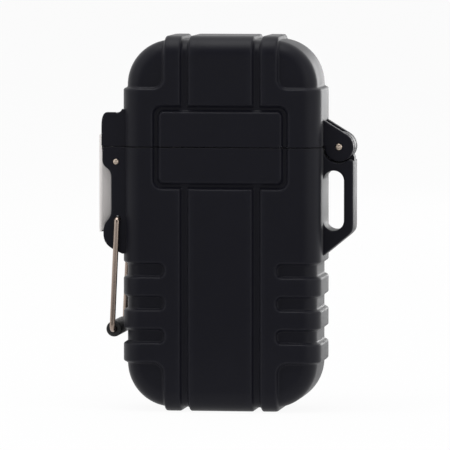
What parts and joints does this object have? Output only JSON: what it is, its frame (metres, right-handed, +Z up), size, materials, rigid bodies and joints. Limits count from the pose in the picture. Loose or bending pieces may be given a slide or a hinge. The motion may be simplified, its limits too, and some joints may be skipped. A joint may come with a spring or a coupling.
{
  "type": "lighter",
  "caption": "Rugged rechargeable arc lighter: hinged lid over an electrode head, patterned pocket-size body, lanyard loop, sprung latch lever and a wire bail with a sleeve.",
  "frame": {"origin": "middle of the flat base that the lighter stands on", "axes": "+Z up towards the lid, -Y out of the front face, +X towards the hinge and lanyard loop"},
  "size_m": [0.0556, 0.022, 0.082],
  "materials": {
    "shell": "matt black soft-touch moulding",
    "frame": "fine textured black nylon",
    "trim": "satin black plastic",
    "seal": "orange-red silicone",
    "rubber": "matt black rubber tube",
    "ceramic": "unglazed white ceramic",
    "tungsten": "drawn wire",
    "steel": "bright plated steel",
    "button_metal": "turned and anodised",
    "pin_metal": "polished nickel",
    "liner": "satin drawn sheet",
    "lever_steel": "bead-blasted nickel-plated sheet",
    "wire_steel": "polished spring wire",
    "lead": "white silicone insulation",
    "board": "green solder mask",
    "cell": "blue shrink film",
    "potting": "dark potting resin",
    "lens": "frosted light pipe"
  },
  "bodies": {
    "body": {"body_shell": "shell", "neck_frame": "frame", "neck_seal": "seal", "deck_plate": "trim", "deck_screw_1": "steel", "deck_screw_2": "steel", "ceramic_head": "ceramic", "electrode_1": "tungsten", "electrode_2": "tungsten", "electrode_3": "tungsten", "electrode_4": "tungsten", "high_voltage_lead_1": "lead", "high_voltage_lead_2": "lead", "high_voltage_lead_3": "lead", "high_voltage_lead_4": "lead", "tact_switch": "trim", "usb_socket": "steel", "charge_light": "lens", "top_board": "board", "main_board": "board", "controller_chip": "trim", "battery_cell": "cell", "arc_transformer_1": "potting", "arc_transformer_2": "potting", "hinge_pin": "pin_metal", "latch_pin": "pin_metal"},
    "lid": {"lid_shell": "shell", "lid_liner": "liner", "latch_keeper": "shell"},
    "lever": {"latch_lever": "lever_steel", "latch_spring": "wire_steel"},
    "bail": {"bail_wire": "wire_steel"},
    "roller": {"bail_sleeve": "rubber"},
    "button": {"ignition_button": "button_metal"}
  },
  "joints": [
    {"name": "lid_hinge", "type": "hinge", "parent": "body", "child": "lid", "pos_m": [0.0252, 0, 0.0578], "axis": [0, 1, 0], "range_deg": [0, 105]},
    {"name": "lever_pivot", "type": "hinge", "parent": "body", "child": "lever", "pos_m": [-0.0232, 0, 0.0545], "axis": [0, -1, 0], "range_deg": [0, 10], "stiffness_Nm_per_rad": 0.02, "springref_deg": -8.59},
    {"name": "bail_pivot", "type": "hinge", "parent": "body", "child": "bail", "pos_m": [-0.0228, 0, 0.042], "axis": [0, 1, 0], "range_deg": [0, 174.9]},
    {"name": "sleeve_roll", "type": "hinge", "parent": "bail", "child": "roller", "pos_m": [-0.02387, 0, 0.01782], "axis": [0, 1, 0], "continuous": true},
    {"name": "button_press", "type": "slide", "parent": "body", "child": "button", "axis": [0, 0, -1], "range_m": [0, 0.0006], "stiffness_N_per_m": 500, "springref_m": -0.0006}
  ]
}
